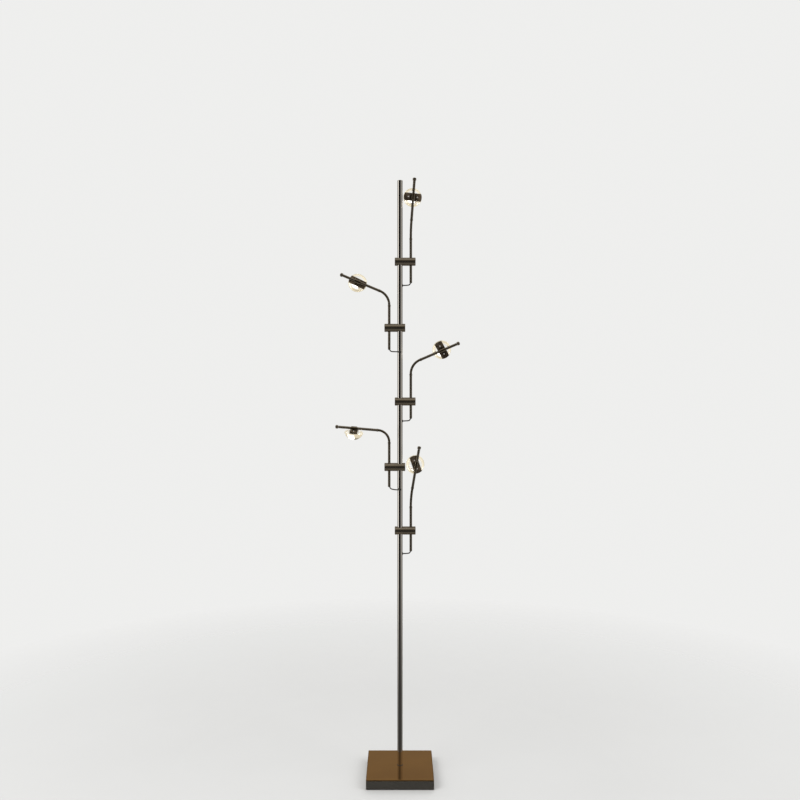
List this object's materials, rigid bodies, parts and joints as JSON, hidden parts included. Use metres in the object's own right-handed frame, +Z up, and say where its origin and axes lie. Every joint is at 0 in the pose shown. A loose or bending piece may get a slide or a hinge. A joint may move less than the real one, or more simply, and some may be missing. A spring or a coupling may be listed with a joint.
{
  "type": "tree floor lamp",
  "caption": "Slim floor lamp: square plate base, tall polished pole, and bendable side arms that carry small domed glass spot heads.",
  "frame": {"origin": "on the floor, at the centre of the base's underside, under the pole's axis", "axes": "+Z up along the pole, +X to the right seen from the front, +Y to the back, where the cord inlet is"},
  "size_m": [0.3808, 0.2016, 1.8231],
  "materials": {
    "polished_nickel": "polished, slightly warm and dark nickel",
    "neck_metal": "polished nickel over a wound neck",
    "bronze_plate": "mirror polished, bronze tinted",
    "dark_nickel": "dark polished nickel",
    "black_sheet": "matt black paint",
    "screw_steel": "plain zinc",
    "black_plastic": "moulded black",
    "driver_case": "moulded white",
    "soft_pad": "thin soft sheet, black",
    "black_cable": "smooth sheath",
    "lead_cable": "smooth dark sheath",
    "dark_hub": "dark nickel",
    "dark_bracket": "dark bronze, satin",
    "led_light": "lit, warm white",
    "clear_glass": "clear, polished"
  },
  "bodies": {
    "stand": {"base_pad": "soft_pad", "base_block": "dark_nickel", "base_top_plate": "bronze_plate", "base_bottom_cover": "black_sheet", "cover_screws": "screw_steel", "cord_gland": "black_plastic", "led_driver": "driver_case", "pole": "polished_nickel", "pole_cap": "polished_nickel", "pole_foot": "screw_steel", "pole_foot_nut": "screw_steel", "trunk_cable": "black_cable", "arm_leads": "lead_cable", "lead_bushes": "black_plastic", "clamp_screws": "screw_steel", "clamp_1": "polished_nickel", "clamp_2": "polished_nickel", "clamp_3": "polished_nickel", "clamp_4": "polished_nickel", "clamp_5": "polished_nickel"},
    "arm_1": {"arm_1_tube": "polished_nickel", "arm_1_gooseneck": "neck_metal"},
    "arm_1_end": {"arm_1_rod": "polished_nickel", "arm_1_knob": "polished_nickel"},
    "head_1_mount": {"head_1_hub": "dark_hub"},
    "head_1": {"head_1_bracket": "dark_bracket", "head_1_led": "led_light", "head_1_lens": "clear_glass"},
    "arm_2": {"arm_2_tube": "polished_nickel", "arm_2_gooseneck": "neck_metal"},
    "arm_2_end": {"arm_2_rod": "polished_nickel", "arm_2_knob": "polished_nickel"},
    "head_2_mount": {"head_2_hub": "dark_hub"},
    "head_2": {"head_2_bracket": "dark_bracket", "head_2_led": "led_light", "head_2_lens": "clear_glass"},
    "arm_3": {"arm_3_tube": "polished_nickel", "arm_3_gooseneck": "neck_metal"},
    "arm_3_end": {"arm_3_rod": "polished_nickel", "arm_3_knob": "polished_nickel"},
    "head_3_mount": {"head_3_hub": "dark_hub"},
    "head_3": {"head_3_bracket": "dark_bracket", "head_3_led": "led_light", "head_3_lens": "clear_glass"},
    "arm_4": {"arm_4_tube": "polished_nickel", "arm_4_gooseneck": "neck_metal"},
    "arm_4_end": {"arm_4_rod": "polished_nickel", "arm_4_knob": "polished_nickel"},
    "head_4_mount": {"head_4_hub": "dark_hub"},
    "head_4": {"head_4_bracket": "dark_bracket", "head_4_led": "led_light", "head_4_lens": "clear_glass"},
    "arm_5": {"arm_5_tube": "polished_nickel", "arm_5_gooseneck": "neck_metal"},
    "arm_5_end": {"arm_5_rod": "polished_nickel", "arm_5_knob": "polished_nickel"},
    "head_5_mount": {"head_5_hub": "dark_hub"},
    "head_5": {"head_5_bracket": "dark_bracket", "head_5_led": "led_light", "head_5_lens": "clear_glass"}
  },
  "joints": [
    {"name": "arm_1_swivel", "type": "hinge", "parent": "stand", "child": "arm_1", "pos_m": [0.033, 0, 1.5015], "axis": [0, 0, 1], "range_deg": [-110, 10]},
    {"name": "arm_1_bend", "type": "hinge", "parent": "arm_1", "child": "arm_1_end", "pos_m": [0.033, 0, 1.66451], "axis": [0, 1, 0], "range_deg": [-1.5, 88], "deforming": ["arm_1_gooseneck"]},
    {"name": "head_1_turn", "type": "hinge", "parent": "arm_1_end", "child": "head_1_mount", "pos_m": [0.0404, 0, 1.76525], "axis": [-0.0732, 0, -0.9973], "range_deg": [-8, 100]},
    {"name": "head_1_spin", "type": "hinge", "parent": "head_1_mount", "child": "head_1", "pos_m": [0.0404, 0, 1.76525], "axis": [-0.1388, 0.9903, 0.0102], "range_deg": [-90, 90]},
    {"name": "arm_2_swivel", "type": "hinge", "parent": "stand", "child": "arm_2", "pos_m": [-0.033, 0, 1.298], "axis": [0, 0, -1], "range_deg": [-90, 90]},
    {"name": "arm_2_bend", "type": "hinge", "parent": "arm_2", "child": "arm_2_end", "pos_m": [-0.033, 0, 1.46459], "axis": [0, -1, 0], "range_deg": [-55, 26], "deforming": ["arm_2_gooseneck"]},
    {"name": "head_2_turn", "type": "hinge", "parent": "arm_2_end", "child": "head_2_mount", "pos_m": [-0.12942, 0, 1.50512], "axis": [-0.9219, 0, 0.3875], "range_deg": [-15, 100]},
    {"name": "head_2_spin", "type": "hinge", "parent": "head_2_mount", "child": "head_2", "pos_m": [-0.12942, 0, 1.50512], "axis": [0.0606, -0.9877, 0.1442], "range_deg": [-90, 90]},
    {"name": "arm_3_swivel", "type": "hinge", "parent": "stand", "child": "arm_3", "pos_m": [0.033, 0, 1.0875], "axis": [0, 0, 1], "range_deg": [-90, 90]},
    {"name": "arm_3_bend", "type": "hinge", "parent": "arm_3", "child": "arm_3_end", "pos_m": [0.033, 0, 1.25404], "axis": [0, 1, 0], "range_deg": [-55, 26], "deforming": ["arm_3_gooseneck"]},
    {"name": "head_3_turn", "type": "hinge", "parent": "arm_3_end", "child": "head_3_mount", "pos_m": [0.12909, 0, 1.29522], "axis": [-0.9191, 0, -0.3939], "range_deg": [-15, 100]},
    {"name": "head_3_spin", "type": "hinge", "parent": "head_3_mount", "child": "head_3", "pos_m": [0.12909, 0, 1.29522], "axis": [-0.0853, 0.9763, 0.1989], "range_deg": [-90, 90]},
    {"name": "arm_4_swivel", "type": "hinge", "parent": "stand", "child": "arm_4", "pos_m": [-0.033, 0, 0.879], "axis": [0, 0, -1], "range_deg": [-90, 90]},
    {"name": "arm_4_bend", "type": "hinge", "parent": "arm_4", "child": "arm_4_end", "pos_m": [-0.033, 0, 1.04839], "axis": [0, -1, 0], "range_deg": [-70, 9], "deforming": ["arm_4_gooseneck"]},
    {"name": "head_4_turn", "type": "hinge", "parent": "arm_4_end", "child": "head_4_mount", "pos_m": [-0.14002, 0, 1.05738], "axis": [-0.9965, 0, 0.0837], "range_deg": [-15, 100]},
    {"name": "head_4_spin", "type": "hinge", "parent": "head_4_mount", "child": "head_4", "pos_m": [-0.14002, 0, 1.05738], "axis": [0.0824, -0.1736, 0.9814], "range_deg": [-90, 90]},
    {"name": "arm_5_swivel", "type": "hinge", "parent": "stand", "child": "arm_5", "pos_m": [0.033, 0, 0.6825], "axis": [0, 0, 1], "range_deg": [-110, 10]},
    {"name": "arm_5_bend", "type": "hinge", "parent": "arm_5", "child": "arm_5_end", "pos_m": [0.033, 0, 0.84556], "axis": [0, 1, 0], "range_deg": [-1, 84], "deforming": ["arm_5_gooseneck"]},
    {"name": "head_5_turn", "type": "hinge", "parent": "arm_5_end", "child": "head_5_mount", "pos_m": [0.04985, 0, 0.94521], "axis": [-0.1668, 0, -0.986], "range_deg": [-8, 100]},
    {"name": "head_5_spin", "type": "hinge", "parent": "head_5_mount", "child": "head_5", "pos_m": [0.04985, 0, 0.94521], "axis": [-0.2218, 0.9744, 0.0375], "range_deg": [-90, 90]}
  ]
}
